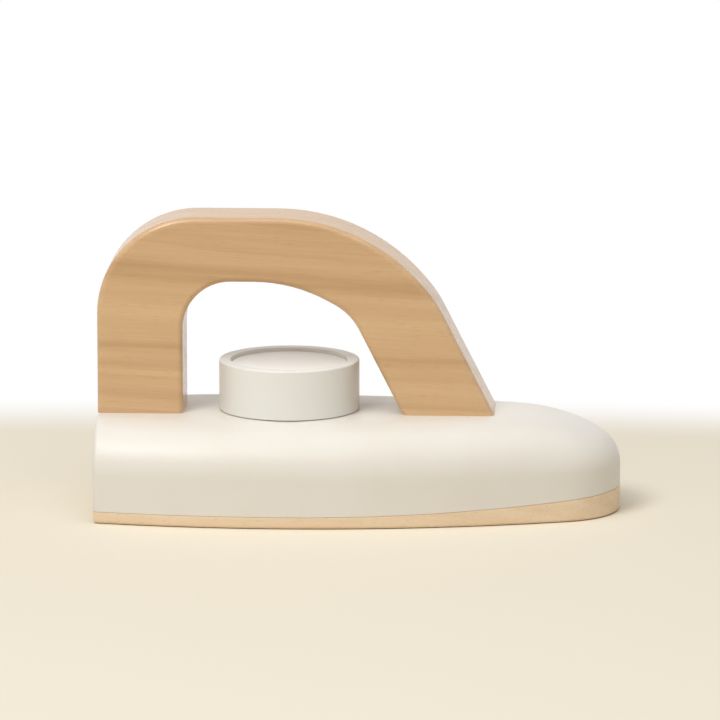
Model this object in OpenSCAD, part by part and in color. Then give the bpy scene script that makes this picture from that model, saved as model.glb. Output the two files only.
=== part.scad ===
// Wooden toy iron: a white painted body on a plain wooden soleplate, an arched
// wooden handle and a white dial that turns under the arch.
// Millimetres. +X points to the nose, +Z is up, and the iron stands on Z = 0.

/* [Body] */
// Full width of the body at its widest point
body_width = 60; // [50:1:76]
// How far each side draws in from the widest point to the heel
heel_taper = 5; // [1:0.5:8]
// Distance from the heel to the widest point
widest_at = 48; // [36:1:60]
// Height of the upright side wall between the soleplate and the rounded shoulder
side_height = 9.3; // [8:0.1:16]
// Radius of the rounded shoulder along the sides and the nose
shoulder_radius = 13.5; // [8:0.5:16]
// Radius of the flat top that is left at the nose
nose_flat = 5.5; // [2:0.5:6]
// Bare length of body ahead of the handle's front foot
nose_reach = 32.6; // [26:0.1:44]
// Length of the top that falls away to the nose
nose_fall = 25; // [18:1:30]
// Radius of that fall, seen from the side
fall_radius = 50; // [40:1:90]

/* [Soleplate] */
// Thickness of the soleplate under the heel
sole_thickness = 3; // [2.5:0.1:5]
// Extra thickness of the soleplate at the tip of the nose
sole_rise = 3.6; // [1:0.1:6]
// Length of level soleplate behind the rise
sole_level = 52; // [30:1:80]

/* [Handle] */
// Thickness of the handle's board
handle_thickness = 18; // [12:0.5:22]
// Depth of the grip at the crown of the arch
grip_depth = 16.8; // [11:0.1:20]
// Width of the upright rear leg
rear_leg = 22.2; // [19:0.1:30]
// Width of the sloping front leg, measured level
front_leg = 23.8; // [21:0.1:34]
// Lean of the front leg from upright, in degrees
front_lean = 27; // [20:0.1:34]
// Clear height for fingers between the dial and the grip
finger_room = 21.5; // [16:0.1:32]
// Radius of the arch's outer rear corner
rear_corner = 25.5; // [14:0.5:28]
// Radius of the arch's outer crown
crown_radius = 50; // [36:1:70]
// Radius of the outer knee above the front leg
knee_radius = 30; // [8:0.5:36]
// Radius of the opening's rear corner
inner_corner = 12.5; // [5:0.5:14]
// Radius of the opening's crown
inner_crown = 40; // [28:1:50]
// Radius of the opening's knee
inner_knee = 15.5; // [4:0.5:20]

/* [Dial] */
// Diameter of the dial
knob_diameter = 36.5; // [30:0.5:44]
// Height of the dial above its glide washer
knob_height = 12.6; // [11.5:0.1:18]
// Width of the raised rim round the dial's top
knob_rim = 3; // [2:0.1:5]
// Depth of the dial's cap below the rim
cap_drop = 1; // [0.5:0.1:2]
// Thickness of the cap
cap_thickness = 1.8; // [1.2:0.1:3]
// Radius of the dial's rounded outer edges
knob_edge = 0.4; // [0.2:0.1:1.5]
// Gap between the rear leg and the dial
knob_gap_rear = 8.95; // [5:0.05:14]
// Gap between the front leg and the dial's upper edge
knob_gap_front = 4.9; // [1.5:0.1:8]
// Thickness of the glide washer under the dial
glide_thickness = 0.4; // [0.3:0.1:1.5]
// Diameter of the glide washer
glide_diameter = 24; // [16:0.5:28]

/* [Fasteners] */
// Shank diameter of the handle and dial screws
screw_diameter = 4; // [3:0.5:5]
// Pan head diameter of the handle and dial screws
head_diameter = 8; // [7:0.5:9]
// Pan head height of the handle and dial screws
head_height = 2.6; // [2:0.1:3]
// Depth that a handle screw bites into its leg
handle_bite = 18; // [12:0.5:22]
// Depth that the dial screw bites into the body
knob_bite = 20; // [12:0.5:21]
// Depth of the pocket that sinks a handle screw's head
head_pocket = 6; // [4:0.5:8]
// Outer diameter of the sleeve that the dial turns on
sleeve_diameter = 7; // [6:0.1:9]
// Diameter of the washer under the dial screw's head
washer_diameter = 12; // [10:0.5:14]
// Thickness of that washer
washer_thickness = 1; // [0.6:0.1:1.5]
// Diameter of the handle's dowels
dowel_diameter = 8; // [6:0.5:9]
// Depth of a dowel in the body
dowel_in_body = 16; // [10:0.5:18]
// Depth of a dowel in the handle
dowel_in_handle = 10; // [7:0.5:12]
// Shank diameter of the soleplate screws
sole_screw_diameter = 3; // [2.5:0.1:3.5]
// Head diameter of the soleplate screws
sole_head_diameter = 6; // [5:0.1:7]
// Length of the soleplate screws
sole_screw_length = 12; // [8:0.5:14]
// Distance of the soleplate screws in from the side of the body
sole_screw_inset = 10; // [7:0.5:14]

/* [Fits] */
// Radial gap round a screw or dowel in its hole
hole_gap = 0.1; // [0.05:0.01:0.2]
// Radial running gap between the dial and its sleeve
running_gap = 0.05; // [0.02:0.01:0.1]
// End play of the dial on its sleeve
end_play = 0.15; // [0.1:0.05:0.3]
// Gap left under the dial's skirt once its end play is taken up
skirt_gap = 0.1; // [0.05:0.05:0.2]
// Depth that each soleplate screw's head is sunk below the surface
head_sink = 0.3; // [0.2:0.1:0.5]

/* [Hidden] */
$fn = 96;

paint_white = "#ece7db";
dial_white = "#e6e1d6";
wood_honey = "#d2a676";
wood_pale = "#dcb887";
dowel_beech = "#dcc09a";
steel_grey = "#b4b6b8";
nylon_white = "#f0efe9";
felt_grey = "#8c8a85";

// How far a cut runs past the face that it opens
through = 1;

// Heights
body_top = sole_thickness + side_height + shoulder_radius;
knob_base = body_top + glide_thickness + end_play / 2;
skirt_base = body_top + skirt_gap + end_play / 2;
knob_top = knob_base + knob_height;
cap_seat = knob_top - cap_drop - cap_thickness;
cap_clearance = 0.3;
screw_head_top = cap_seat - cap_clearance;
washer_base = screw_head_top - head_height - washer_thickness;
web_top = washer_base - end_play / 2;

// Lengths along the iron, from the heel
knob_at = rear_leg + knob_gap_rear + knob_diameter / 2;
lean_per_height = tan(front_lean);
front_foot = knob_at + knob_diameter / 2 + knob_gap_front
    + (knob_top - body_top) * lean_per_height;
handle_end = front_foot + front_leg;
body_length = handle_end + nose_reach;

// Plan outline: one arc from heel to widest point, one from there to the nose
half_width = body_width / 2;
nose_radius = shoulder_radius + nose_flat;
nose_at = body_length - nose_radius;
rear_arc = (widest_at ^ 2 + heel_taper ^ 2) / (2 * heel_taper);
front_run = nose_at - widest_at;
front_arc = (front_run ^ 2 + half_width ^ 2 - nose_radius ^ 2)
    / (2 * (half_width - nose_radius));
nose_half_angle = atan2(front_arc - half_width, front_run);
function side_arc(x) = x < widest_at ? rear_arc : front_arc;
function side_at(x) =
    half_width - side_arc(x) + sqrt(side_arc(x) ^ 2 - (x - widest_at) ^ 2);

// One side of the same outline as points, from the heel to the tip of the nose
arc_steps = 20;
function arc_after(centre, r, from, to) = [
    for (k = [1:arc_steps])
        let (a = from + (to - from) * k / arc_steps)
        centre + r * [cos(a), sin(a)]
];
heel_angle = atan2(rear_arc - heel_taper, -widest_at);
side_points = concat(
    [[0, half_width - heel_taper]],
    arc_after([widest_at, half_width - rear_arc], rear_arc, heel_angle, 90),
    arc_after([widest_at, half_width - front_arc], front_arc, 90, nose_half_angle),
    arc_after([nose_at, 0], nose_radius, nose_half_angle, 0)
);

// Points along the soleplate's rising upper face, from the end of its level part
rise_run = body_length - sole_level;
rise_arc = (rise_run ^ 2 + sole_rise ^ 2) / (2 * sole_rise);
rise_steps = 8;
rise_points = [
    for (k = [0:rise_steps])
        let (run = (rise_run + through) * k / rise_steps)
        [sole_level + run, sole_thickness + rise_arc - sqrt(rise_arc ^ 2 - run ^ 2)]
];

// Points along the top's fall, from where it leaves the level
fall_from = body_length - nose_fall;
fall_steps = 8;
fall_points = [
    for (k = [0:fall_steps])
        let (run = (nose_fall + through) * k / fall_steps)
        [fall_from + run, body_top - fall_radius + sqrt(fall_radius ^ 2 - run ^ 2)]
];

// Handle outline, from the top of the body
inner_rise = knob_top - body_top + finger_room;
handle_rise = inner_rise + grip_depth;
knee_drop = 21.5;
knee_run = 18.4;
inner_knee_drop = 8.2;
inner_knee_run = 14.8;
outer_knee_z = handle_rise - knee_drop;
outer_knee_x = handle_end - outer_knee_z * lean_per_height;
inner_knee_z = inner_rise - inner_knee_drop;
inner_knee_x = front_foot - inner_knee_z * lean_per_height;

// Screw and dowel places along the iron
leg_wall = 2.5;
rear_screw_at = leg_wall + head_diameter / 2;
rear_dowel_at = rear_leg - leg_wall - dowel_diameter / 2;
front_screw_at = front_foot + leg_wall + screw_diameter / 2;
front_dowel_at = handle_end - leg_wall - dowel_diameter / 2
    - dowel_in_handle * lean_per_height;
sole_screw_rear = 16;
sole_screw_places = [
    for (x = [sole_screw_rear, handle_end], side = [-1, 1])
        [x, side * (side_at(x) - sole_screw_inset)]
];
pocket_gap = 0.5;
head_base = sole_thickness + head_pocket;
sole_head_height = (sole_head_diameter - sole_screw_diameter) / 2;
cross_width = 0.9;
cross_share = 0.6;
cross_depth = 0.8;

// A corner's turn, and the radius that its two edges leave room for
function turn(a, b, c) =
    let (u = b - a, v = c - b)
    atan2(u.x * v.y - u.y * v.x, u.x * v.x + u.y * v.y);
function tangent(p, i) =
    let (n = len(p))
    p[i].z * abs(tan(turn(flat(p[(i + n - 1) % n]), flat(p[i]), flat(p[(i + 1) % n])) / 2));
function flat(v) = [v.x, v.y];
function room(p, i, j) =
    let (need = tangent(p, i) + tangent(p, j))
    need == 0 ? 1 : min(1, norm(flat(p[i]) - flat(p[j])) / need);

// Points round corner i of a list of [x, y, radius]
function corner(p, i) =
    let (
        n = len(p),
        before = (i + n - 1) % n,
        after = (i + 1) % n,
        b = flat(p[i]),
        share = min(room(p, before, i), room(p, i, after)),
        t = tangent(p, i) * share,
        r = p[i].z * share,
        into = flat(p[i] - p[before]) / norm(flat(p[i] - p[before])),
        angle = turn(flat(p[before]), b, flat(p[after])),
        start = b - into * t,
        left = [-into.y, into.x] * sign(angle),
        centre = start + left * r,
        steps = max(1, ceil(abs(angle) / 3))
    )
    r == 0 ? [b] : [
        for (k = [0:steps])
            let (a = angle * k / steps, out = start - centre)
            centre + [out.x * cos(a) - out.y * sin(a), out.x * sin(a) + out.y * cos(a)]
    ];
function rounded(p) = [for (i = [0:len(p) - 1]) each corner(p, i)];

module from_heel() {
    translate([-body_length / 2, 0, 0]) children();
}

// Half section of a disc of radius r with a rounded upper edge
module shoulder_section(r) {
    square([r - shoulder_radius, body_top]);
    square([r, body_top - shoulder_radius]);
    translate([r - shoulder_radius, body_top - shoulder_radius])
        intersection() {
            circle(shoulder_radius);
            square(shoulder_radius);
        }
}

module shouldered_disc(r) {
    rotate_extrude($fn = 360) shoulder_section(r);
}

// The stretch between two mirrored side arcs, from x0 to x1
module between_arcs(r, x0, x1) {
    intersection() {
        intersection_for(side = [-1, 1])
            translate([widest_at, side * (r - half_width), 0]) shouldered_disc(r);
        translate([x0, -body_width, -through])
            cube([x1 - x0, 2 * body_width, body_top + 2 * through]);
    }
}

// The sector ahead of the nose's centre that its round end fills
module nose_sector() {
    reach = 4 * nose_radius;
    translate([nose_at, 0, -through])
        linear_extrude(body_top + 2 * through)
            polygon([
                [0, 0],
                reach * [cos(nose_half_angle), -sin(nose_half_angle)],
                [reach, -reach],
                [reach, reach],
                reach * [cos(nose_half_angle), sin(nose_half_angle)],
            ]);
}

// The whole height of body and soleplate, with the rounded shoulders
module block() {
    between_arcs(rear_arc, 0, widest_at);
    difference() {
        between_arcs(front_arc, widest_at, body_length);
        nose_sector();
    }
    intersection() {
        translate([nose_at, 0, 0]) shouldered_disc(nose_radius);
        nose_sector();
    }
}

// Everything under the joint face between soleplate and body
module below_joint() {
    rotate([90, 0, 0])
        linear_extrude(2 * body_width, center = true)
            polygon(concat(
                [[body_length + through, -through], [-through, -through]],
                [[-through, sole_thickness]],
                rise_points
            ));
}

// Everything over the top's fall to the nose
module above_fall() {
    rotate([90, 0, 0])
        linear_extrude(2 * body_width, center = true)
            polygon(concat(
                fall_points,
                [[body_length + through, body_top + through], [fall_from, body_top + through]]
            ));
}

module drill(x, y, z0, z1, d) {
    translate([x, y, z0]) cylinder(d = d, h = z1 - z0);
}

module pan_screw(length) {
    difference() {
        drill(0, 0, -head_height, 0, head_diameter);
        drive_cross(-head_height, head_diameter);
    }
    drill(0, 0, 0, length, screw_diameter);
}

// Cross recess cut upwards into a head whose face lies at z
module drive_cross(z, d) {
    for (turned = [0, 90])
        rotate(turned)
            translate([-d * cross_share / 2, -cross_width / 2, z - through])
                cube([d * cross_share, cross_width, cross_depth + through]);
}

module painted_body() {
    color(paint_white) from_heel() difference() {
        block();
        below_joint();
        above_fall();
        for (x = [rear_screw_at, front_screw_at]) {
            drill(x, 0, 0, body_top + through, screw_diameter + 2 * hole_gap);
            drill(x, 0, 0, head_base, head_diameter + 2 * pocket_gap);
        }
        for (x = [rear_dowel_at, front_dowel_at])
            drill(x, 0, body_top - dowel_in_body, body_top + through,
                  dowel_diameter + 2 * hole_gap);
        drill(knob_at, 0, body_top - knob_bite, body_top + through,
              screw_diameter + 2 * hole_gap);
        for (place = sole_screw_places)
            drill(place.x, place.y, 0, head_sink + sole_screw_length,
                  sole_screw_diameter + 2 * hole_gap);
    }
}

module soleplate() {
    color(wood_pale) from_heel() difference() {
        intersection() {
            linear_extrude(sole_thickness + sole_rise + through)
                polygon(concat(side_points, [
                    for (i = [len(side_points) - 2:-1:0]) [side_points[i].x, -side_points[i].y]
                ]));
            below_joint();
        }
        for (place = sole_screw_places)
            translate(place) {
                drill(0, 0, -through, sole_thickness + sole_rise + through,
                      sole_screw_diameter + 2 * hole_gap);
                drill(0, 0, -through, head_sink, sole_head_diameter + 2 * hole_gap);
                translate([0, 0, head_sink])
                    cylinder(d1 = sole_head_diameter + 2 * hole_gap,
                             d2 = sole_screw_diameter + 2 * hole_gap, h = sole_head_height);
            }
    }
}

module handle_outline() {
    polygon(rounded([
        [0, 0, 0],
        [rear_leg, 0, 0],
        [rear_leg, inner_rise, inner_corner],
        [inner_knee_x - inner_knee_run, inner_rise, inner_crown],
        [inner_knee_x, inner_knee_z, inner_knee],
        [front_foot, 0, 0],
        [handle_end, 0, 0],
        [outer_knee_x, outer_knee_z, knee_radius],
        [outer_knee_x - knee_run, handle_rise, crown_radius],
        [0, handle_rise, rear_corner],
    ]));
}

module handle() {
    color(wood_honey) from_heel() difference() {
        translate([0, 0, body_top])
            rotate([90, 0, 0])
                linear_extrude(handle_thickness, center = true) handle_outline();
        for (x = [rear_screw_at, front_screw_at])
            drill(x, 0, body_top - through, body_top + handle_bite,
                  screw_diameter + 2 * hole_gap);
        for (x = [rear_dowel_at, front_dowel_at])
            drill(x, 0, body_top - through, body_top + dowel_in_handle,
                  dowel_diameter + 2 * hole_gap);
    }
}

module dowel(x) {
    color(dowel_beech) from_heel()
        drill(x, 0, body_top - dowel_in_body, body_top + dowel_in_handle, dowel_diameter);
}

module rear_dowel() {
    dowel(rear_dowel_at);
}

module front_dowel() {
    dowel(front_dowel_at);
}

module handle_screws() {
    color(steel_grey) from_heel()
        for (x = [rear_screw_at, front_screw_at])
            translate([x, 0, head_base]) pan_screw(body_top + handle_bite - head_base);
}

module soleplate_screws() {
    color(steel_grey) from_heel()
        for (place = sole_screw_places)
            translate([place.x, place.y, head_sink]) {
                difference() {
                    cylinder(d1 = sole_head_diameter, d2 = sole_screw_diameter,
                             h = sole_head_height);
                    drive_cross(0, sole_head_diameter);
                }
                drill(0, 0, sole_head_height, sole_screw_length, sole_screw_diameter);
            }
}

// Half section of the dial: skirt round the glide washer, web, bore, screw pocket,
// cap seat and rounded rim
module knob_section() {
    bore = sleeve_diameter / 2 + running_gap;
    glide = glide_diameter / 2 + pocket_gap;
    pocket = washer_diameter / 2 + pocket_gap;
    outer = knob_diameter / 2;
    seat = outer - knob_rim;
    whole = knob_top - skirt_base;
    difference() {
        union() {
            translate([bore, skirt_base + knob_edge])
                square([outer - bore, whole - 2 * knob_edge]);
            translate([bore, skirt_base]) square([outer - knob_edge - bore, whole]);
            for (z = [skirt_base + knob_edge, knob_top - knob_edge])
                translate([outer - knob_edge, z]) circle(knob_edge);
        }
        translate([0, skirt_base - through]) square([glide, knob_base - skirt_base + through]);
        translate([0, web_top]) square([pocket, knob_height]);
        translate([0, cap_seat]) square([seat, knob_height]);
    }
}

module knob() {
    color(dial_white) from_heel()
        translate([knob_at, 0, 0]) rotate_extrude() knob_section();
}

module knob_cap() {
    color(dial_white) from_heel()
        drill(knob_at, 0, cap_seat, cap_seat + cap_thickness,
              knob_diameter - 2 * knob_rim - 2 * hole_gap);
}

module knob_screw() {
    color(steel_grey) from_heel()
        translate([knob_at, 0, washer_base + washer_thickness])
            rotate([180, 0, 0])
                pan_screw(washer_base + washer_thickness - body_top + knob_bite);
}

module ring(z0, z1, outer_d, inner_d) {
    difference() {
        drill(knob_at, 0, z0, z1, outer_d);
        drill(knob_at, 0, z0 - through, z1 + through, inner_d);
    }
}

module knob_washer() {
    color(steel_grey) from_heel()
        ring(washer_base, washer_base + washer_thickness, washer_diameter,
             screw_diameter + 2 * hole_gap);
}

module knob_sleeve() {
    color(nylon_white) from_heel()
        ring(body_top, washer_base, sleeve_diameter, screw_diameter + 2 * hole_gap);
}

module glide_washer() {
    color(felt_grey) from_heel()
        ring(body_top, body_top + glide_thickness, glide_diameter,
             sleeve_diameter + 2 * hole_gap);
}

painted_body();
soleplate();
handle();
rear_dowel();
front_dowel();
handle_screws();
soleplate_screws();
knob();
knob_cap();
knob_screw();
knob_washer();
knob_sleeve();
glide_washer();
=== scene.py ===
"""Dresses the toy iron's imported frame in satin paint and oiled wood, on a plain pale floor.

The body, soleplate, handle and dial are modelled over the frame's nodes. The fixings inside keep
the frame's own meshes and get their finishes here.
"""

import logging
import math
from dataclasses import dataclass
from enum import Enum, IntEnum
from typing import Any, Callable, Optional, Sequence, Union

import bmesh
import bpy
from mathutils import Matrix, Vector

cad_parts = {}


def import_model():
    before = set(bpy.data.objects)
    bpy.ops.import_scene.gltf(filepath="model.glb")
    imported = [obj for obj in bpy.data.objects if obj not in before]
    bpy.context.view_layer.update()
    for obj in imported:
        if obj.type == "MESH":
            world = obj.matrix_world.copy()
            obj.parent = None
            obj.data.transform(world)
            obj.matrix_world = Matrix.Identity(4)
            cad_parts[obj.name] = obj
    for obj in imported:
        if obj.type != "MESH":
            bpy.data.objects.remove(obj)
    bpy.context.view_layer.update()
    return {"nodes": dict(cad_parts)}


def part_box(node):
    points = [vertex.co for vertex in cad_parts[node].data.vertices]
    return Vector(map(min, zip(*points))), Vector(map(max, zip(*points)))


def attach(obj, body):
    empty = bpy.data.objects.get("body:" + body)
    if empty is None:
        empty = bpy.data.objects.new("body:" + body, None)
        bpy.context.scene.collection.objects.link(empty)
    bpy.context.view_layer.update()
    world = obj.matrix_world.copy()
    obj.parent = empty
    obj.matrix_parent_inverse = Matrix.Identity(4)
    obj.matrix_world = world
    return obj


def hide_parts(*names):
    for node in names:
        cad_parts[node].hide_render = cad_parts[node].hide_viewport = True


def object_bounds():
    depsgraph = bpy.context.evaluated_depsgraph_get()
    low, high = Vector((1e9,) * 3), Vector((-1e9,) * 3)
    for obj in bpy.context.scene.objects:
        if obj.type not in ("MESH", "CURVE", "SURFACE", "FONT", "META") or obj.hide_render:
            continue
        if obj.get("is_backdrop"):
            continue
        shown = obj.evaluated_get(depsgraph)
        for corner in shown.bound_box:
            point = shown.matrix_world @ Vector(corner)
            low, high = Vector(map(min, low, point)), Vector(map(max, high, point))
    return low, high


MM = 0.001
NEAR = 0.01 * MM
ARC_STEP = math.radians(4)
ARC_LEAST = 3
PLACE_DIGITS = 6
HOLE_STRIPS = 36
SMOOTH_ANGLE = math.radians(35)
FACE_WEIGHT = 100
RIM_TILT = 0.5

# Sockets of a Mix node that blends colours.
MIX_SHARE, MIX_FIRST, MIX_SECOND, MIX_RESULT = 0, 6, 7, 2

log = logging.getLogger("toy_iron")

Colour = tuple[float, float, float, float]
Triple = tuple[float, float, float]
Span = tuple[float, float]

WHITE: Colour = (1.0, 1.0, 1.0, 1.0)


class Axis(IntEnum):
    """The frame's axes, as places in a vector."""

    X = 0
    Y = 1
    Z = 2


class Carrier(str, Enum):
    """The frame's two bodies."""

    IRON = "iron"
    DIAL = "dial"


class Slot(str, Enum):
    """The record's material slots."""

    BODY_PAINT = "body_paint"
    DIAL_PAINT = "dial_paint"
    HANDLE_WOOD = "handle_wood"
    SOLE_WOOD = "sole_wood"
    DOWEL_WOOD = "dowel_wood"
    ZINC_STEEL = "zinc_steel"
    NYLON = "nylon"
    GLIDE_FELT = "glide_felt"


class Pick(str, Enum):
    """What a selection in edit mode is made of."""

    VERTS = "VERT"
    EDGES = "EDGE"


def srgb(red: int, green: int, blue: int) -> Colour:
    """Turn a screen's colour, in parts of 255, into the linear one that a shader takes."""
    parts = [part / 255 for part in (red, green, blue)]
    linear = [p / 12.92 if p <= 0.04045 else ((p + 0.055) / 1.055) ** 2.4 for p in parts]
    return (*linear, 1.0)


class Signal:
    """One output socket of a node tree. Arithmetic on it adds Math nodes."""

    def __init__(self, graph: "Graph", socket: Optional[bpy.types.NodeSocket]) -> None:
        """Wrap a socket of a graph."""
        self.graph = graph
        self.socket = socket

    def __add__(self, other: "Value") -> "Signal":
        """Sum of this and another value."""
        return self.graph.maths("ADD", self, other)

    def __radd__(self, other: "Value") -> "Signal":
        """Sum of another value and this."""
        return self.graph.maths("ADD", other, self)

    def __sub__(self, other: "Value") -> "Signal":
        """This less another value."""
        return self.graph.maths("SUBTRACT", self, other)

    def __rsub__(self, other: "Value") -> "Signal":
        """Another value less this."""
        return self.graph.maths("SUBTRACT", other, self)

    def __mul__(self, other: "Value") -> "Signal":
        """Product of this and another value."""
        return self.graph.maths("MULTIPLY", self, other)

    def __rmul__(self, other: "Value") -> "Signal":
        """Product of another value and this."""
        return self.graph.maths("MULTIPLY", other, self)

    def __truediv__(self, other: "Value") -> "Signal":
        """This divided by another value."""
        return self.graph.maths("DIVIDE", self, other)

    def __pow__(self, other: "Value") -> "Signal":
        """This raised to a power."""
        return self.graph.maths("POWER", self, other)

    def swing(self, reach: float) -> "Signal":
        """This, a value from 0 to 1, as a swing about 0."""
        return (self - 0.5) * reach


Value = Union[float, Signal]
Tint = Union[Colour, Signal]


class Graph:
    """The node tree of one material or of the world, built up node by node."""

    def __init__(self, tree: bpy.types.NodeTree) -> None:
        """Empty a tree and take it over."""
        self.tree = tree
        tree.nodes.clear()

    def node(
        self,
        kind: str,
        settings: Optional[dict[str, Any]] = None,
        inputs: Optional[dict[Union[str, int], Any]] = None,
        output: Union[str, int] = 0,
    ) -> Signal:
        """Add a node, set it up and feed it.

        Args:
            kind: the node's type name.
            settings: attributes of the node, set before its sockets.
            inputs: values or signals for its input sockets, by name or number.
            output: the output socket wanted, by name or number.

        Returns:
            That output, or a signal without a socket where the node has no output.
        """
        made = self.tree.nodes.new(kind)
        for name, setting in (settings or {}).items():
            setattr(made, name, setting)
        for key, value in (inputs or {}).items():
            if isinstance(value, Signal):
                self.tree.links.new(value.socket, made.inputs[key])
            else:
                made.inputs[key].default_value = value
        return Signal(self, made.outputs[output] if made.outputs else None)

    def maths(self, operation: str, *values: Value) -> Signal:
        """Add a Math node on one or two values."""
        return self.node("ShaderNodeMath", {"operation": operation}, dict(enumerate(values)))

    def vectors(self, operation: str, *values: Union[Triple, Signal]) -> Signal:
        """Add a Vector Math node on one or two vectors. A length comes out as a value."""
        output = "Value" if operation == "LENGTH" else "Vector"
        settings = {"operation": operation}
        return self.node("ShaderNodeVectorMath", settings, dict(enumerate(values)), output)

    def mix(self, first: Tint, second: Tint, share: Value) -> Signal:
        """Blend two colours.

        Args:
            first: colour where the share is 0.
            second: colour where the share is 1.
            share: how much of the second colour shows.

        Returns:
            The blended colour.
        """
        return self.node(
            "ShaderNodeMix",
            {"data_type": "RGBA", "clamp_factor": True},
            {MIX_SHARE: share, MIX_FIRST: first, MIX_SECOND: second},
            output=MIX_RESULT,
        )

    def ease(self, value: Value, low: float, high: float) -> Signal:
        """Rise smoothly from 0 at low to 1 at high."""
        return self.node(
            "ShaderNodeMapRange",
            {"interpolation_type": "SMOOTHSTEP"},
            {"Value": value, "From Min": low, "From Max": high},
        )

    def millimetres(self, origin: Triple = (0, 0, 0), turn: Triple = (0, 0, 0)) -> Signal:
        """Give the place on the piece in millimetres.

        Args:
            origin: point in metres that the place is counted from.
            turn: angles in radians that the axes are turned by.

        Returns:
            The place as a vector.
        """
        place = self.node("ShaderNodeTexCoord", output="Object")
        moved = self.vectors("SUBTRACT", place, origin)
        return self.node(
            "ShaderNodeMapping", inputs={"Vector": moved, "Rotation": turn, "Scale": (1 / MM,) * 3}
        )

    def noise(self, place: Signal, stretch: Triple, detail: float = 2.0) -> Signal:
        """Read a 3-D noise, from 0 to 1.

        Args:
            place: where on the piece, in millimetres.
            stretch: how many noise cells a millimetre holds along each axis.
            detail: octaves of finer noise.

        Returns:
            The noise value.
        """
        scaled = self.vectors("MULTIPLY", place, stretch)
        return self.node(
            "ShaderNodeTexNoise", inputs={"Vector": scaled, "Scale": 1.0, "Detail": detail}
        )

    def bump(self, height: Signal, strength: float, depth: float) -> Signal:
        """Turn a height from 0 to 1 into a normal, for a relief of a depth in metres."""
        return self.node(
            "ShaderNodeBump",
            inputs={"Height": height, "Strength": strength, "Distance": depth},
            output="Normal",
        )

    def principled(self, **inputs: Any) -> None:
        """End the tree in a Principled surface. Input names have underscores for spaces."""
        named = {name.replace("_", " "): value for name, value in inputs.items()}
        shader = self.node("ShaderNodeBsdfPrincipled", inputs=named, output="BSDF")
        self.node("ShaderNodeOutputMaterial", inputs={"Surface": shader})


@dataclass(frozen=True)
class Finish:
    """A named material that a subclass wires."""

    name: str

    def wire(self, graph: Graph) -> None:
        """Add the finish's nodes to an empty tree."""
        raise NotImplementedError

    def material(self) -> bpy.types.Material:
        """Give the finish's material, made once."""
        made = bpy.data.materials.get(self.name)
        if made is None:
            made = bpy.data.materials.new(self.name)
            made.use_nodes = True
            self.wire(Graph(made.node_tree))
        return made


@dataclass(frozen=True)
class PaintFinish(Finish):
    """Satin paint on wood: a fine skin from the roller, and the grain just showing through."""

    coat: Colour
    worn: Colour
    skin_cells: float = 1.1
    fibre_cells: Triple = (0.03, 1.4, 1.4)
    cloud_cells: float = 0.045
    cloud_edges: Span = (0.35, 0.75)
    mottling: float = 0.5
    fibre_share: float = 0.12
    roughness: float = 0.4
    cloud_dulling: float = 0.12
    skin_dulling: float = 0.08
    skin_height: float = 0.6
    fibre_height: float = 0.4
    relief: float = 0.01 * MM
    relief_strength: float = 0.1

    def wire(self, graph: Graph) -> None:
        """Wire the paint's colour, sheen and skin."""
        place = graph.millimetres()
        skin = graph.noise(place, (self.skin_cells,) * 3)
        fibres = graph.noise(place, self.fibre_cells)
        cloud = graph.noise(place, (self.cloud_cells,) * 3, detail=3.0)
        mottling = graph.ease(cloud, *self.cloud_edges) * self.mottling
        dulling = cloud.swing(self.cloud_dulling) + skin.swing(self.skin_dulling)
        height = skin * self.skin_height + fibres * self.fibre_height
        graph.principled(
            Base_Color=graph.mix(self.coat, self.worn, mottling + fibres.swing(self.fibre_share)),
            Roughness=self.roughness + dulling,
            Normal=graph.bump(height, self.relief_strength, self.relief),
        )


@dataclass(frozen=True)
class DarkBand:
    """A darker run of rings: its distance from the pith, its half width and its depth."""

    radius: float
    reach: float
    depth: float


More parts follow.
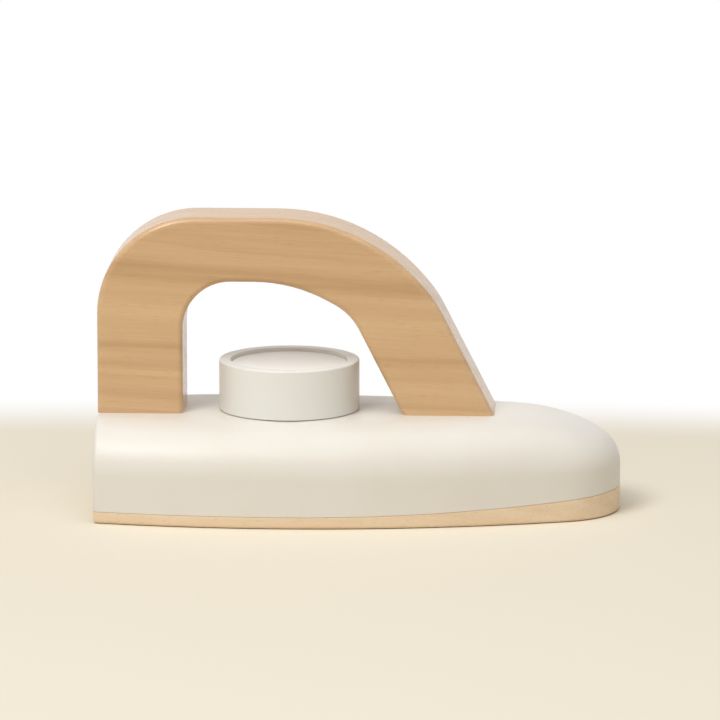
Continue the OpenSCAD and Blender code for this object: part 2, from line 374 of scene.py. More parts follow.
@dataclass(frozen=True)
class WoodFinish(Finish):
    """Plain-sawn wood with its grain along X: rings about a pith line, fibres and short flecks."""

    pale: Colour
    dark: Colour
    fleck: Colour
    pith: Triple
    lean: float = 0.0
    wander_cells: Triple = (0.009, 0.02, 0.02)
    wander: float = 9.0
    swell_cells: float = 0.06
    swell: float = 2.2
    ring_width: float = 7.0
    late_from: float = 0.25
    late_peak: float = 0.9
    streak_cells: Triple = (0.012, 0.55, 0.55)
    fibre_cells: Triple = (0.05, 3.2, 3.2)
    pore_cells: Triple = (0.3, 4.5, 4.5)
    pore_edges: Span = (0.62, 0.74)
    bands: tuple[DarkBand, ...] = ()
    band_core: float = 0.2
    heart: float = 0.0
    heart_edges: Span = (55.0, 75.0)
    dark_share: float = 0.3
    ring_share: float = 0.16
    streak_share: float = 0.7
    fibre_share: float = 0.5
    fleck_share: float = 0.4
    roughness: float = 0.5
    streak_dulling: float = 0.2
    pore_dulling: float = 0.12
    fibre_height: float = 0.7
    pore_height: float = 0.3
    relief: float = 0.04 * MM
    relief_strength: float = 0.18

    def wire(self, graph: Graph) -> None:
        """Wire the wood's colour, sheen and open grain."""
        place = graph.millimetres(self.pith, (0, math.radians(self.lean), 0))
        across, up = (
            graph.node("ShaderNodeSeparateXYZ", inputs={"Vector": place}, output=axis)
            for axis in "YZ"
        )
        wander = graph.noise(place, self.wander_cells).swing(self.wander)
        radius = (across**2 + up**2) ** 0.5 + wander
        swell = graph.node(
            "ShaderNodeTexNoise",
            {"noise_dimensions": "1D"},
            {"W": radius * self.swell_cells, "Scale": 1.0, "Detail": 1.0},
        )
        ring = graph.maths("FRACT", radius / self.ring_width + swell * self.swell)
        rising = graph.ease(ring, self.late_from, self.late_peak)
        late = rising * (1 - graph.ease(ring, self.late_peak, 1.0))
        streaks = graph.noise(place, self.streak_cells, detail=3.0)
        fibres = graph.noise(place, self.fibre_cells)
        pores = graph.ease(graph.noise(place, self.pore_cells, detail=1.0), *self.pore_edges)
        heart = (1 - graph.ease(radius, *self.heart_edges)) * self.heart
        share = self.dark_share + heart + late * self.ring_share
        share = share + streaks.swing(self.streak_share) + fibres.swing(self.fibre_share)
        for band in self.bands:
            away = graph.maths("ABSOLUTE", radius - band.radius)
            core = self.band_core * band.reach
            share = share + (1 - graph.ease(away, core, band.reach)) * band.depth
        wood = graph.mix(self.pale, self.dark, share)
        dulling = streaks.swing(self.streak_dulling) + pores * self.pore_dulling
        height = fibres * self.fibre_height + (1 - pores) * self.pore_height
        graph.principled(
            Base_Color=graph.mix(wood, self.fleck, pores * self.fleck_share),
            Roughness=self.roughness + dulling,
            Normal=graph.bump(height, self.relief_strength, self.relief),
        )


@dataclass(frozen=True)
class MetalFinish(Finish):
    """Zinc plated steel: a dull bright skin with a faint cloud and drawn scratches."""

    bright: Colour
    dull: Colour
    cloud_cells: float = 0.6
    cloud_edges: Span = (0.35, 0.7)
    scratch_cells: Triple = (6.0, 6.0, 0.4)
    roughness: float = 0.3
    cloud_dulling: float = 0.15
    scratch_dulling: float = 0.1
    relief: float = 0.02 * MM
    relief_strength: float = 0.15

    def wire(self, graph: Graph) -> None:
        """Wire the metal's colour and sheen."""
        place = graph.millimetres()
        cloud = graph.noise(place, (self.cloud_cells,) * 3, detail=3.0)
        scratches = graph.noise(place, self.scratch_cells, detail=1.0)
        dulling = cloud * self.cloud_dulling + scratches * self.scratch_dulling
        graph.principled(
            Base_Color=graph.mix(self.bright, self.dull, graph.ease(cloud, *self.cloud_edges)),
            Metallic=1.0,
            Roughness=self.roughness + dulling,
            Normal=graph.bump(scratches, self.relief_strength, self.relief),
        )


@dataclass(frozen=True)
class MatteFinish(Finish):
    """A matte soft material: moulded nylon or pressed felt, by its grain."""

    pale: Colour
    dark: Colour
    cells: float
    roughness: float
    relief: float
    grain_edges: Span = (0.3, 0.7)
    grain_dulling: float = 0.1
    relief_strength: float = 0.4

    def wire(self, graph: Graph) -> None:
        """Wire the colour and the grain."""
        place = graph.millimetres()
        grain = graph.noise(place, (self.cells,) * 3, detail=3.0)
        graph.principled(
            Base_Color=graph.mix(self.pale, self.dark, graph.ease(grain, *self.grain_edges)),
            Roughness=self.roughness + grain.swing(self.grain_dulling),
            Normal=graph.bump(grain, self.relief_strength, self.relief),
        )


@dataclass(frozen=True)
class FloorFinish(Finish):
    """A pale cream floor that fades to plain white some way from the object."""

    cream: Colour
    white: Colour
    centre: Triple = (0.0, -0.30, 0.0)
    reach: Triple = (0.62, 0.42, 1.0)
    fade: Span = (0.93, 1.06)
    cloud_cells: float = 0.02
    cloud_share: float = 0.12

    def wire(self, graph: Graph) -> None:
        """Wire the fade from matte cream to white seen straight on or in a reflection."""
        place = graph.node("ShaderNodeTexCoord", output="Object")
        moved = graph.vectors("SUBTRACT", place, self.centre)
        away = graph.vectors("LENGTH", graph.vectors("DIVIDE", moved, self.reach))
        far = graph.ease(away, *self.fade)
        cloud = graph.noise(graph.millimetres(), (self.cloud_cells,) * 3)
        tint = graph.mix(self.cream, self.white, cloud * self.cloud_share)
        matte = graph.node("ShaderNodeBsdfDiffuse", inputs={"Color": tint})
        plain = graph.node("ShaderNodeEmission", inputs={"Color": WHITE, "Strength": 1.0})
        shader = graph.node(
            "ShaderNodeMixShader", inputs={0: far * seen_directly(graph), 1: matte, 2: plain}
        )
        graph.node("ShaderNodeOutputMaterial", inputs={"Surface": shader})


def seen_directly(graph: Graph) -> Signal:
    """Give 1 for a ray from the camera, a reflection or a clear piece, and 0 for others."""
    rays = [
        graph.node("ShaderNodeLightPath", output=name)
        for name in ("Is Camera Ray", "Is Glossy Ray", "Is Transmission Ray")
    ]
    return graph.maths("MAXIMUM", graph.maths("MAXIMUM", rays[0], rays[1]), rays[2])


BODY_PAINT = PaintFinish("satin_white_paint", srgb(230, 225, 216), srgb(224, 217, 204))
DIAL_PAINT = PaintFinish("dial_white_paint", srgb(237, 236, 231), srgb(233, 231, 224))
# Painted light: the cap's white is lighter than the dial's own paint, standing in for the light on
# the dial's top that the handle's grip shades.
CAP_PAINT_PAINTED_LIGHT = PaintFinish("cap_paint_painted_light", srgb(252, 251, 246), srgb(249, 247, 239))
HANDLE_WOOD = WoodFinish(
    "oiled_honey_wood",
    pale=srgb(223, 187, 142),
    dark=srgb(195, 154, 110),
    fleck=srgb(172, 129, 87),
    pith=(0.0, 0.0285, 0.125),
    lean=-3.0,
    heart=0.35,
    roughness=0.22,
    bands=(DarkBand(75.0, 3.5, 0.5), DarkBand(93.0, 2.0, 0.3)),
)
SOLE_WOOD = WoodFinish(
    "bare_pale_wood",
    pale=srgb(240, 218, 188),
    dark=srgb(224, 194, 154),
    fleck=srgb(200, 164, 122),
    pith=(0.0, 0.02, 0.06),
    ring_width=5.0,
    roughness=0.6,
)
DOWEL_WOOD = WoodFinish(
    "bare_beech",
    pale=srgb(224, 198, 160),
    dark=srgb(206, 174, 130),
    fleck=srgb(178, 140, 98),
    pith=(0.0, 0.03, 0.0),
    ring_width=4.0,
    roughness=0.6,
)
ZINC_STEEL = MetalFinish("zinc_plating", (0.62, 0.63, 0.64, 1.0), (0.5, 0.51, 0.52, 1.0))
NYLON = MatteFinish(
    "moulded_nylon",
    pale=srgb(240, 239, 233),
    dark=srgb(231, 229, 221),
    cells=0.8,
    roughness=0.4,
    relief=0.02 * MM,
)
FELT = MatteFinish(
    "pressed_felt",
    pale=srgb(150, 147, 141),
    dark=srgb(122, 119, 113),
    cells=3.0,
    roughness=0.9,
    relief=0.1 * MM,
)
FLOOR = FloorFinish("cream_floor", srgb(236, 227, 208), srgb(239, 232, 217))


@dataclass(frozen=True)
class Corner:
    """A corner of a flat outline: its place in the outline's plane and its radius."""

    across: float
    up: float
    radius: float = 0.0

    @property
    def point(self) -> Vector:
        """The corner as a flat vector."""
        return Vector((self.across, self.up))


@dataclass(frozen=True)
class Hole:
    """A round hole down an upright axis: where the axis stands, and half of its section."""

    across: float
    side: float
    section: tuple[Corner, ...]

    @classmethod
    def straight(cls, across: float, side: float, radius: float, low: float, high: float) -> "Hole":
        """Make a plain hole of one radius between two heights."""
        section = (Corner(0, low), Corner(radius, low), Corner(radius, high), Corner(0, high))
        return cls(across, side, section)


class Bench:
    """One piece on the bench: a mesh in edit mode, picked by place and shaped by operators."""

    def __init__(self, name: str, start: Vector) -> None:
        """Start a piece as a single point, from a small plane merged to its centre."""
        bpy.ops.object.select_all(action="DESELECT")
        bpy.ops.mesh.primitive_plane_add(size=MM, location=start)
        bpy.ops.object.transform_apply(location=True, rotation=True, scale=True)
        self.piece = bpy.context.active_object
        self.piece.name = name
        self.piece.data.name = name
        self.at = start.copy()
        bpy.ops.object.mode_set(mode="EDIT")
        bpy.ops.mesh.select_mode(type=Pick.VERTS.value)
        bpy.ops.mesh.select_all(action="SELECT")
        bpy.ops.mesh.merge(type="CENTER")

    def line_to(self, point: Vector) -> None:
        """Draw a straight edge from the pen's place to a point."""
        bpy.ops.mesh.extrude_vertices_move(TRANSFORM_OT_translate={"value": point - self.at})
        self.at = point.copy()

    def arc(self, centre: Vector, axis: Vector, angle: float, steps: int) -> None:
        """Draw an arc of edges from the pen's place.

        Args:
            centre: the arc's centre.
            axis: direction that the arc turns about, to the left for a positive angle.
            angle: how far it turns, in radians.
            steps: number of edges.
        """
        bpy.ops.mesh.spin(steps=steps, angle=-angle, center=centre, axis=axis)
        mesh = bmesh.from_edit_mesh(self.piece.data)
        self.at = next(vert.co.copy() for vert in mesh.verts if vert.select)

    def rounded_path(
        self, corners: Sequence[Corner], place: Callable[[Vector], Vector], closed: bool
    ) -> None:
        """Draw straight runs with rounded corners in an upright plane that faces -Y.

        Args:
            corners: the corners in order, turning left seen from -Y; the pen stands on the first.
            place: turns a flat point of the outline into a place.
            closed: whether the path returns to its first corner.
        """
        facing = Vector((0, -1, 0))
        count = len(corners)
        points = [corner.point for corner in corners]
        turns = []
        for i in range(count):
            into = points[i] - points[i - 1]
            out = points[(i + 1) % count] - points[i]
            turns.append(math.atan2(into.x * out.y - into.y * out.x, into.dot(out)))
        runs = [corner.radius * abs(math.tan(turn / 2)) for corner, turn in zip(corners, turns)]
        for i in range(1, count):
            share = 1.0
            for j in (i - 1, (i + 1) % count):
                need = runs[i] + runs[j]
                share = min(share, (points[i] - points[j]).length / need) if need else share
            radius = corners[i].radius * share
            into = (points[i] - points[i - 1]).normalized()
            start = points[i] - into * runs[i] * share
            self.line_to(place(start))
            if radius:
                left = Vector((-into.y, into.x)) * math.copysign(radius, turns[i])
                steps = max(ARC_LEAST, math.ceil(abs(turns[i]) / ARC_STEP))
                self.arc(place(start + left), facing, turns[i], steps)
        if closed:
            self.line_to(place(points[0]))
            bpy.ops.mesh.select_all(action="SELECT")
            bpy.ops.mesh.remove_doubles(threshold=NEAR)

    def fill(self) -> None:
        """Close the drawn outline with one flat face."""
        bpy.ops.mesh.select_all(action="SELECT")
        bpy.ops.mesh.remove_doubles(threshold=NEAR)
        bpy.ops.mesh.edge_face_add()

    def extrude(self, along: Triple) -> None:
        """Pull the whole drawn face out into a solid and point its faces outwards."""
        bpy.ops.mesh.extrude_region_move(TRANSFORM_OT_translate={"value": along})
        self.face_outwards()

    def turn(self, axis_at: Vector, steps: int) -> None:
        """Spin the drawn section once about an upright axis and close its seam and poles."""
        bpy.ops.mesh.select_all(action="SELECT")
        bpy.ops.mesh.spin(steps=steps, angle=math.tau, center=axis_at, axis=(0, 0, 1))
        bpy.ops.mesh.select_all(action="SELECT")
        bpy.ops.mesh.remove_doubles(threshold=NEAR)
        self.face_outwards()

    def face_outwards(self) -> None:
        """Point every face outwards."""
        bpy.ops.mesh.select_all(action="SELECT")
        bpy.ops.mesh.normals_make_consistent(inside=False)

    def pick(self, kind: Pick, test: Callable[[Any], bool]) -> int:
        """Select the vertices or edges that pass a test, and nothing else.

        Args:
            kind: what to select.
            test: tells of one bmesh element whether to select it.

        Returns:
            How many were selected.
        """
        bpy.ops.mesh.select_mode(type=kind.value)
        bpy.ops.mesh.select_all(action="DESELECT")
        mesh = bmesh.from_edit_mesh(self.piece.data)
        parts = mesh.verts if kind is Pick.VERTS else mesh.edges
        found = [part for part in parts if test(part)]
        for part in found:
            part.select_set(True)
        mesh.select_flush_mode()
        bmesh.update_edit_mesh(self.piece.data)
        return len(found)

    def columns(self, level: float) -> list[float]:
        """Give the places along X of a level face's points, in order."""
        mesh = bmesh.from_edit_mesh(self.piece.data)
        points = [vert.co for vert in mesh.verts if abs(vert.co.z - level) < NEAR]
        return sorted({round(point.x, PLACE_DIGITS) for point in points})

    def join_across(self, level: float, x: float) -> None:
        """Pick a level face's points at one place along X and join the two by an edge."""
        count = self.pick(
            Pick.VERTS, lambda v: abs(v.co.z - level) < NEAR and abs(v.co.x - x) < NEAR
        )
        if count == 2:
            bpy.ops.mesh.vert_connect()

    def round_edges(
        self, width: float, steps: int, test: Callable[[bmesh.types.BMEdge], bool]
    ) -> None:
        """Round the edges that pass a test.

        Args:
            width: the rounding's radius where the faces meet at a right angle.
            steps: number of strips across the rounding.
            test: tells of an edge whether to round it.
        """
        self.pick(Pick.EDGES, test)
        bpy.ops.mesh.bevel(
            offset_type="OFFSET",
            offset=width,
            segments=steps,
            profile=0.5,
            affect="EDGES",
            clamp_overlap=False,
        )

    def drill(self, holes: Sequence[Hole]) -> None:
        """Cut holes into the piece, each with a turned cutter."""
        for hole in holes:
            bpy.ops.object.mode_set(mode="OBJECT")
            axis_at = Vector((hole.across, hole.side, 0))
            self.cut(turned_piece("cutter", axis_at, hole.section, HOLE_STRIPS, closed=False))

    def cut(self, cutter: "Bench") -> None:
        """Take another piece's volume out of this one, and throw the other away."""
        bpy.ops.object.mode_set(mode="OBJECT")
        self.modify("BOOLEAN", object=cutter.piece, operation="DIFFERENCE", solver="EXACT")
        bpy.data.meshes.remove(cutter.piece.data)
        bpy.ops.object.mode_set(mode="EDIT")

    def modify(self, kind: str, **settings: Any) -> None:
        """Add a modifier to the piece in object mode, set it up and apply it."""
        bpy.ops.object.select_all(action="DESELECT")
        bpy.context.view_layer.objects.active = self.piece
        self.piece.select_set(True)
        bpy.ops.object.modifier_add(type=kind)
        step = self.piece.modifiers[-1]
        for name, setting in settings.items():
            setattr(step, name, setting)
        bpy.ops.object.modifier_apply(modifier=step.name)

    def finish(self, finish: Finish, slot: Slot, carrier: Carrier, *nodes: str) -> bpy.types.Object:
        """Shade the piece, dress it and hand it to the frame.

        Args:
            finish: what it is dressed in.
            slot: the record's slot for that finish; not used.
            carrier: the body that it rides on.
            nodes: the frame's nodes that it stands for.

        Returns:
            The finished object.
        """
        bpy.ops.object.mode_set(mode="OBJECT")
        bpy.ops.object.shade_smooth_by_angle(angle=SMOOTH_ANGLE)
        self.modify("WEIGHTED_NORMAL", keep_sharp=True, weight=FACE_WEIGHT)
        self.piece.data.materials.clear()
        self.piece.data.materials.append(finish.material())
        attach(self.piece, carrier.value)
        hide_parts(*nodes)
        log.info("%s: %d faces", self.piece.name, len(self.piece.data.polygons))
        return self.piece


def on_plane(edge: bmesh.types.BMEdge, axis: Axis, level: float) -> bool:
    """Tell whether both ends of an edge lie on the plane where an axis has a value."""
    return all(abs(vert.co[axis] - level) < NEAR for vert in edge.verts)


def is_rim(edge: bmesh.types.BMEdge) -> bool:
    """Tell whether an edge lies between a level face and an upright one."""
    tilts = [abs(face.normal.z) for face in edge.link_faces]
    return min(tilts) < RIM_TILT < max(tilts)


def turned_piece(
    name: str, axis_at: Vector, corners: Sequence[Corner], steps: int, closed: bool
) -> Bench:
    """Turn a piece on an upright axis from its half section.

    Args:
        name: the piece's name.
        axis_at: a point of the axis, at the height that the section counts from.
        corners: the half section, as distances from the axis and heights.
        steps: number of strips round the axis.
        closed: whether the section is a closed loop clear of the axis.

    Returns:
        The piece, still in edit mode.
    """

    def place(flat: Vector) -> Vector:
        """Put a point of the section beside the axis."""
        return axis_at + Vector((flat.x, 0, flat.y))

    bench = Bench(name, place(corners[0].point))
    bench.rounded_path(corners, place, closed)
    bench.turn(axis_at, steps)
    return bench


@dataclass(frozen=True)
class FootPlan:
    """Plan outline that body and soleplate share, and the joint line that rises to the nose."""

    heel: float
    tip: float
    half_width: float
    heel_taper: float = 5.0 * MM
    widest_at: float = 48.0 * MM
    nose_radius: float = 19.0 * MM
    level_run: float = 52.0 * MM
    level: float = 3.0 * MM
    rise: float = 3.6 * MM
    rear_steps: int = 14
    front_steps: int = 26
    nose_steps: int = 44

    @classmethod
    def from_frame(cls) -> "FootPlan":
        """Take the outline's reach from the frame's soleplate."""
        low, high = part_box("soleplate")
        return cls(heel=low.x, tip=high.x, half_width=high.y)

    @property
    def widest(self) -> float:
        """Place along X where the outline is widest."""
        return self.heel + self.widest_at

    @property
    def nose_at(self) -> float:
        """Place along X of the nose arc's centre."""
        return self.tip - self.nose_radius

    @property
    def rear_radius(self) -> float:
        """Radius of the sides behind the widest place."""
        return (self.widest_at**2 + self.heel_taper**2) / (2 * self.heel_taper)

    @property
    def front_radius(self) -> float:
        """Radius of the sides from the widest place to the nose."""
        run = self.nose_at - self.widest
        narrowing = self.half_width - self.nose_radius
        return (run**2 + self.half_width**2 - self.nose_radius**2) / (2 * narrowing)

    def draw(self, name: str, height: float) -> Bench:
        """Draw the outline as a flat face.

        Args:
            name: the piece's name.
            height: the height that the face lies at.

        Returns:
            The piece, still in edit mode, with the face selected.
        """
        up = Vector((0, 0, 1))
        widest, nose_at = self.widest, self.nose_at
        rear_off = self.rear_radius - self.half_width
        front_off = self.front_radius - self.half_width
        rear_angle = math.asin(self.widest_at / self.rear_radius)
        nose_angle = math.atan2(front_off, nose_at - widest)
        front_angle = math.pi / 2 - nose_angle
        bench = Bench(name, Vector((self.heel, self.heel_taper - self.half_width, height)))
        bench.arc(Vector((widest, rear_off, height)), up, rear_angle, self.rear_steps)
        bench.arc(Vector((widest, front_off, height)), up, front_angle, self.front_steps)
        bench.arc(Vector((nose_at, 0, height)), up, 2 * nose_angle, self.nose_steps)
        bench.arc(Vector((widest, -front_off, height)), up, front_angle, self.front_steps)
        bench.arc(Vector((widest, -rear_off, height)), up, rear_angle, self.rear_steps)
        bench.fill()
        return bench

    def side_at(self, x: float) -> float:
        """Give the outline's half width at a place behind the nose."""
        run = x - self.widest
        radius = self.front_radius if run > 0 else self.rear_radius
        return self.half_width - radius + math.sqrt(radius**2 - run**2)

    def lift_at(self, x: float) -> float:
        """Give how far the joint line has risen at a place along the iron."""
        run = max(0.0, x - self.heel - self.level_run)
        whole = self.tip - self.heel - self.level_run
        radius = (whole**2 + self.rise**2) / (2 * self.rise)
        return radius - math.sqrt(radius**2 - run**2)

    def raise_joint(self, bench: Bench) -> None:
        """Split the piece's flat joint face into strips and lift them along the joint line."""
        columns = bench.columns(self.level)
        last_level = max(x for x in columns if self.lift_at(x) == 0.0)
        for x in (x for x in columns if x >= last_level):
            bench.join_across(self.level, x)
            if self.lift_at(x) > 0:
                bpy.ops.transform.translate(value=(0, 0, self.lift_at(x)))

    def on_joint(self, edge: bmesh.types.BMEdge) -> bool:
        """Tell whether an edge is the joint face's outer edge."""
        at_joint = all(abs(v.co.z - self.level - self.lift_at(v.co.x)) < NEAR for v in edge.verts)
        return at_joint and is_rim(edge)


@dataclass(frozen=True)
class Joinery:
    """The holes for dowels and screws, placed by the frame's own fixings."""

    plan: FootPlan
    gap: float = 0.1 * MM
    over: float = 1.0 * MM
    shank: float = 2.0 * MM
    head: float = 4.0 * MM
    head_height: float = 2.6 * MM
    head_gap: float = 0.5 * MM
    sole_shank: float = 1.5 * MM
    sole_head: float = 3.0 * MM
    sole_sink: float = 0.3 * MM
    sole_inset: float = 10.0 * MM

    def dowel_holes(self) -> list[Hole]:
        """Lay out the two dowel holes, which body and handle share."""
        boxes = [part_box(node) for node in ("rear_dowel", "front_dowel")]
        return [
            Hole.straight((low.x + high.x) / 2, 0, (high.x - low.x) / 2 + self.gap, low.z, high.z)
            for low, high in boxes
        ]

    def handle_screw_holes(self) -> list[Hole]:
        """Lay out the two handle screw holes, with the pockets that sink their heads."""
        low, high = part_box("handle_screws")
        pocket, shank = self.head + self.head_gap, self.shank + self.gap
        seat = low.z + self.head_height
        section = (
            Corner(0, -self.over),
            Corner(pocket, -self.over),
            Corner(pocket, seat),
            Corner(shank, seat),
            Corner(shank, high.z),
            Corner(0, high.z),
        )
        return [Hole(across, 0, section) for across in (low.x + self.head, high.x - self.head)]

    def dial_screw_hole(self) -> Hole:
        """Lay out the dial screw's hole in the body."""
        low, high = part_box("knob_screw")
        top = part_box("painted_body")[1].z
        return Hole.straight((low.x + high.x) / 2, 0, self.shank + self.gap, low.z, top + self.over)

    def sole_screw_holes(self) -> list[Hole]:
        """Lay out the four countersunk soleplate screw holes, which run on into the body."""
        low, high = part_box("soleplate_screws")
        head, shank = self.sole_head + self.gap, self.sole_shank + self.gap
        section = (
            Corner(0, -self.over),
            Corner(head, -self.over),
            Corner(head, self.sole_sink),
            Corner(shank, self.sole_sink + head - shank),
            Corner(shank, high.z),
            Corner(0, high.z),
        )
        places = [low.x + self.sole_head, high.x - self.sole_head]
        return [
            Hole(across, hand * (self.plan.side_at(across) - self.sole_inset), section)
            for across in places
            for hand in (-1, 1)
        ]


@dataclass
class PaintedBody:
    """The white block: square heel, round shoulders and a round nose."""

    plan: FootPlan
    joinery: Joinery
    shoulder: float = 13.5 * MM
    shoulder_steps: int = 20
    heel_round: float = 1.0 * MM
    heel_steps: int = 4
    joint_round: float = 0.25 * MM
    joint_steps: int = 2
    fall_run: float = 25.0 * MM
    fall_depth: float = 2.6 * MM
    fall_share: float = 0.8
    fall_steps: int = 9
    level_margin: float = 4.0 * MM

    def build(self) -> bpy.types.Object:
        """Model the body and dress it in white paint."""
        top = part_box("painted_body")[1].z
        bench = self.plan.draw("white_body", self.plan.level)
        bench.extrude((0, 0, top - self.plan.level))
        self.plan.raise_joint(bench)
        heel = self.plan.heel
        bench.round_edges(
            self.shoulder,
            self.shoulder_steps,
            lambda edge: on_plane(edge, Axis.Z, top) and not on_plane(edge, Axis.X, heel),
        )
        bench.round_edges(
            self.heel_round,
            self.heel_steps,
            lambda edge: on_plane(edge, Axis.X, heel)
            and not on_plane(edge, Axis.Z, self.plan.level),
        )
        self.lower_nose(bench, top)
        bench.round_edges(self.joint_round, self.joint_steps, self.plan.on_joint)
        bench.drill(self.joinery.dowel_holes())
        bench.drill(self.joinery.handle_screw_holes())
        bench.drill([self.joinery.dial_screw_hole()])
        bench.drill(self.joinery.sole_screw_holes())
        return bench.finish(BODY_PAINT, Slot.BODY_PAINT, Carrier.IRON, "painted_body")

    def lower_nose(self, bench: Bench, top: float) -> None:
        """Let the rounded top fall away to the nose, with a lattice round the shoulder there.

        Args:
            bench: the body, with its shoulder rounded.
            top: the height of its level top.
        """
        for x in bench.columns(top):
            if x > self.plan.tip - self.fall_run - self.level_margin:
                bench.join_across(top, x)
        bpy.ops.object.mode_set(mode="OBJECT")
        bpy.ops.object.select_all(action="DESELECT")
        middle = (self.plan.tip - self.fall_run / 2, 0, top - self.shoulder / 2)
        bpy.ops.object.add(type="LATTICE", location=middle)
        cage = bpy.context.active_object
        cage.scale = (self.fall_run, 2 * self.plan.half_width, self.shoulder)
        cage.data.points_u, cage.data.points_v, cage.data.points_w = self.fall_steps, 2, 2
        cage.data.interpolation_type_u = "KEY_CARDINAL"
        cage.data.interpolation_type_v = cage.data.interpolation_type_w = "KEY_LINEAR"
        for point in cage.data.points:
            along = min(1.0, max(0.0, (point.co.x + 0.5) / self.fall_share))
            if point.co.z > 0:
                eased = along * along * (3 - 2 * along)
                point.co_deform.z -= eased * self.fall_depth / self.shoulder
        bench.modify("LATTICE", object=cage)
        bpy.data.lattices.remove(cage.data)
        bpy.ops.object.mode_set(mode="EDIT")


@dataclass
class Soleplate:
    """The bare wooden plate under the body, with its four sunk screw holes."""

    plan: FootPlan
    joinery: Joinery
    edge_round: float = 0.8 * MM
    edge_steps: int = 3
    heel_round: float = 1.0 * MM
    heel_steps: int = 4
    joint_round: float = 0.2 * MM
    joint_steps: int = 2

    def build(self) -> bpy.types.Object:
        """Model the plate and dress it in bare wood."""
        bench = self.plan.draw("wooden_soleplate", 0.0)
        bench.extrude((0, 0, self.plan.level))
        self.plan.raise_joint(bench)
        heel = self.plan.heel
        bench.round_edges(
            self.heel_round,
            self.heel_steps,
            lambda edge: on_plane(edge, Axis.X, heel)
            and edge.verts[0].co.y * edge.verts[1].co.y > 0,
        )
        bench.round_edges(
            self.edge_round,
            self.edge_steps,
            lambda edge: on_plane(edge, Axis.Z, 0.0) and is_rim(edge),
        )
        bench.round_edges(self.joint_round, self.joint_steps, self.plan.on_joint)
        bench.drill(self.joinery.sole_screw_holes())
        return bench.finish(SOLE_WOOD, Slot.SOLE_WOOD, Carrier.IRON, "soleplate")


@dataclass
class Handle:
    """The arched board: upright rear leg, round crown and a leaning front leg."""

    joinery: Joinery
    rear_leg: float = 22.2 * MM
    front_leg: float = 23.8 * MM
    lean: float = 27.0
    grip_depth: float = 16.8 * MM
    rear_corner: float = 25.5 * MM
    crown: float = 50.0 * MM
    crown_run: float = 18.4 * MM
    knee: float = 30.0 * MM
    knee_drop: float = 21.5 * MM
    inner_corner: float = 12.5 * MM
    inner_crown: float = 40.0 * MM
    inner_crown_run: float = 14.8 * MM
    inner_knee: float = 15.5 * MM
    inner_knee_drop: float = 8.2 * MM
    edge_round: float = 1.5 * MM
    edge_steps: int = 5

    def corners(self, length: float, rise: float) -> list[Corner]:
        """Lay out the board's outline from its rear foot.

        Args:
            length: the board's length along the body.
            rise: its height above the body.

        Returns:
            The corners, turning left seen from -Y.
        """
        slope = math.tan(math.radians(self.lean))
        foot = length - self.front_leg
        inner_rise = rise - self.grip_depth
        knee_z = rise - self.knee_drop
        knee_x = length - knee_z * slope
        inner_z = inner_rise - self.inner_knee_drop
        inner_x = foot - inner_z * slope
        return [
            Corner(0, 0),
            Corner(self.rear_leg, 0),
            Corner(self.rear_leg, inner_rise, self.inner_corner),
            Corner(inner_x - self.inner_crown_run, inner_rise, self.inner_crown),
            Corner(inner_x, inner_z, self.inner_knee),
            Corner(foot, 0),
            Corner(length, 0),
            Corner(knee_x, knee_z, self.knee),
            Corner(knee_x - self.crown_run, rise, self.crown),
            Corner(0, rise, self.rear_corner),
        ]

    def build(self) -> bpy.types.Object:
        """Model the board and dress it in oiled wood."""
        low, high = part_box("handle")

        def place(flat: Vector) -> Vector:
            """Put a point of the outline on the board's near face."""
            return Vector((low.x + flat.x, low.y, low.z + flat.y))

        corners = self.corners(high.x - low.x, high.z - low.z)
        bench = Bench("arched_handle", place(corners[0].point))
        bench.rounded_path(corners, place, closed=True)
        bench.fill()
        bench.extrude((0, high.y - low.y, 0))
        bench.round_edges(
            self.edge_round,
            self.edge_steps,
            lambda edge: (on_plane(edge, Axis.Y, low.y) or on_plane(edge, Axis.Y, high.y))
            and not on_plane(edge, Axis.Z, low.z),
        )
        bench.drill(self.joinery.dowel_holes())
        bench.drill(self.joinery.handle_screw_holes())
        return bench.finish(HANDLE_WOOD, Slot.HANDLE_WOOD, Carrier.IRON, "handle")


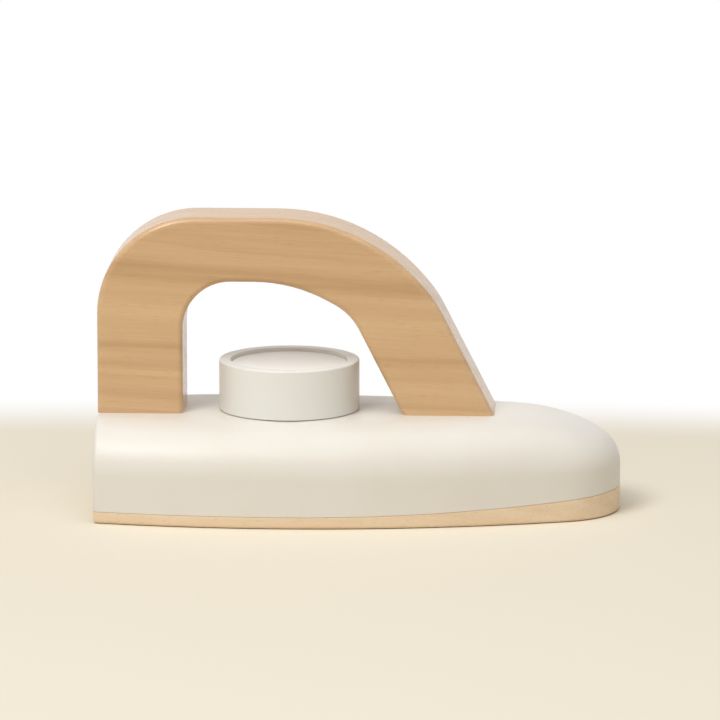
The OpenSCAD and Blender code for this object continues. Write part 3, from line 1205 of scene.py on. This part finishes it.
@dataclass
class Dial:
    """The turned white dial with its raised rim, and the cap sunk in its top."""

    rim: float = 3.0 * MM
    lower_edge: float = 0.2 * MM
    upper_edge: float = 0.4 * MM
    inner_edge: float = 0.3 * MM
    bore: float = 3.55 * MM
    glide_pocket: float = 12.5 * MM
    skirt: float = 0.3 * MM
    pocket: float = 6.5 * MM
    web: float = 5.825 * MM
    cap_edge: float = 0.4 * MM
    strips: int = 96

    def build(self) -> list[bpy.types.Object]:
        """Turn the dial and its cap and dress them in white paint; the cap's paint is painted
        lighter, as painted light on the dial's top.
        """
        low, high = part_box("knob")
        cap_low, cap_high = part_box("knob_cap")
        axis_at = Vector(((low.x + high.x) / 2, 0, low.z))
        cap_at = Vector((axis_at.x, 0, cap_low.z))
        section = self.section((high.x - low.x) / 2, high.z - low.z, cap_low.z - low.z)
        cap_section = self.cap_section((cap_high.x - cap_low.x) / 2, cap_high.z - cap_low.z)
        knob = turned_piece("turning_dial", axis_at, section, self.strips, closed=True)
        knob_piece = knob.finish(DIAL_PAINT, Slot.DIAL_PAINT, Carrier.DIAL, "knob")
        cap = turned_piece("dial_cap", cap_at, cap_section, self.strips, closed=False)
        return [knob_piece, cap.finish(CAP_PAINT_PAINTED_LIGHT, Slot.DIAL_PAINT, Carrier.DIAL, "knob_cap")]

    def section(self, outer: float, tall: float, seat: float) -> list[Corner]:
        """Lay out half of the dial's section, from its bore outwards and back.

        Args:
            outer: the dial's radius.
            tall: its height.
            seat: the height that the cap sits at.

        Returns:
            The corners of a closed loop.
        """
        floor = self.skirt + self.web
        return [
            Corner(self.bore, self.skirt),
            Corner(self.glide_pocket, self.skirt),
            Corner(self.glide_pocket, 0),
            Corner(outer, 0, self.lower_edge),
            Corner(outer, tall, self.upper_edge),
            Corner(outer - self.rim, tall, self.inner_edge),
            Corner(outer - self.rim, seat),
            Corner(self.pocket, seat),
            Corner(self.pocket, floor),
            Corner(self.bore, floor),
        ]

    def cap_section(self, radius: float, rise: float) -> list[Corner]:
        """Lay out half of the cap's section, from its axis out and back."""
        edge = Corner(radius, rise, self.cap_edge)
        return [Corner(0, 0), Corner(radius, 0), edge, Corner(0, rise)]


@dataclass
class Fixings:
    """The dowels, screws, washers and sleeve inside, which keep the frame's meshes."""

    finishes: tuple[tuple[str, Finish], ...] = (
        ("rear_dowel", DOWEL_WOOD),
        ("front_dowel", DOWEL_WOOD),
        ("handle_screws", ZINC_STEEL),
        ("soleplate_screws", ZINC_STEEL),
        ("knob_screw", ZINC_STEEL),
        ("knob_washer", ZINC_STEEL),
        ("knob_sleeve", NYLON),
        ("glide_washer", FELT),
    )

    def dress(self, nodes: dict[str, bpy.types.Object]) -> None:
        """Give each fixing, taken from the frame's objects by name, its finish."""
        for name, finish in self.finishes:
            nodes[name].data.materials.clear()
            nodes[name].data.materials.append(finish.material())
            log.info("%s: dressed in %s", name, finish.name)


@dataclass(frozen=True)
class Lamp:
    """A square area lamp that points at the iron."""

    name: str
    place: Triple
    size: float
    power: float


@dataclass
class Studio:
    """The floor, the soft lamps, the even fill and the camera."""

    floor_size: float = 8.0
    floor_drop: float = 0.1 * MM
    lamps: tuple[Lamp, ...] = (
        Lamp("key_light", (-0.60, -0.88, 1.20), 0.6, 9.0),
        Lamp("overhead_light", (-0.05, -0.45, 1.60), 2.0, 19.5),
    )
    fill: float = 0.26
    azimuth: float = 2.5
    elevation: float = 11.0
    distance: float = 1.56
    lens: float = 300.0

    def build(self) -> None:
        """Set up the floor, the light and the camera."""
        bpy.context.scene.view_settings.view_transform = "Standard"
        self.add_floor()
        self.add_light()
        self.add_camera()

    def add_floor(self) -> None:
        """Lay the pale floor under the iron."""
        bpy.ops.object.select_all(action="DESELECT")
        bpy.ops.mesh.primitive_plane_add(size=self.floor_size, location=(0, 0, -self.floor_drop))
        floor = bpy.context.active_object
        floor.name = "floor"
        floor.data.materials.append(FLOOR.material())
        floor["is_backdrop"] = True

    def add_light(self) -> None:
        """Hang the lamps and fill the world with even white."""
        for lamp in self.lamps:
            place = Vector(lamp.place)
            turn = self.aim(place, Vector())
            bpy.ops.object.light_add(type="AREA", location=place, rotation=turn)
            hung = bpy.context.active_object
            hung.name = lamp.name
            hung.data.energy = lamp.power
            hung.data.size = lamp.size
        world = bpy.data.worlds.new("white_room")
        world.use_nodes = True
        graph = Graph(world.node_tree)
        strength = self.fill + (1 - self.fill) * seen_directly(graph)
        light = graph.node("ShaderNodeBackground", inputs={"Color": WHITE, "Strength": strength})
        graph.node("ShaderNodeOutputWorld", inputs={"Surface": light})
        bpy.context.scene.world = world

    def add_camera(self) -> None:
        """Put the camera at the photograph's angle, on the middle of the iron."""
        low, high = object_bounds()
        middle = (low + high) / 2
        azimuth, elevation = math.radians(self.azimuth), math.radians(self.elevation)
        level = math.cos(elevation)
        away = Vector((math.sin(azimuth) * level, -math.cos(azimuth) * level, math.sin(elevation)))
        place = middle + away * self.distance
        bpy.ops.object.camera_add(location=place, rotation=self.aim(place, middle))
        camera = bpy.context.active_object
        camera.data.lens = self.lens
        bpy.context.scene.camera = camera

    @staticmethod
    def aim(place: Vector, target: Vector) -> Triple:
        """Give the angles that turn a lamp or a camera at a place to a target."""
        return tuple((target - place).to_track_quat("-Z", "Y").to_euler())


def main() -> None:
    """Load the frame, build each piece on it and set up the studio."""
    logging.basicConfig(level=logging.INFO, format="%(name)s %(message)s")
    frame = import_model()
    plan = FootPlan.from_frame()
    joinery = Joinery(plan)
    PaintedBody(plan, joinery).build()
    Soleplate(plan, joinery).build()
    Handle(joinery).build()
    Dial().build()
    Fixings().dress(frame["nodes"])
    Studio().build()


if __name__ == "__main__":
    main()
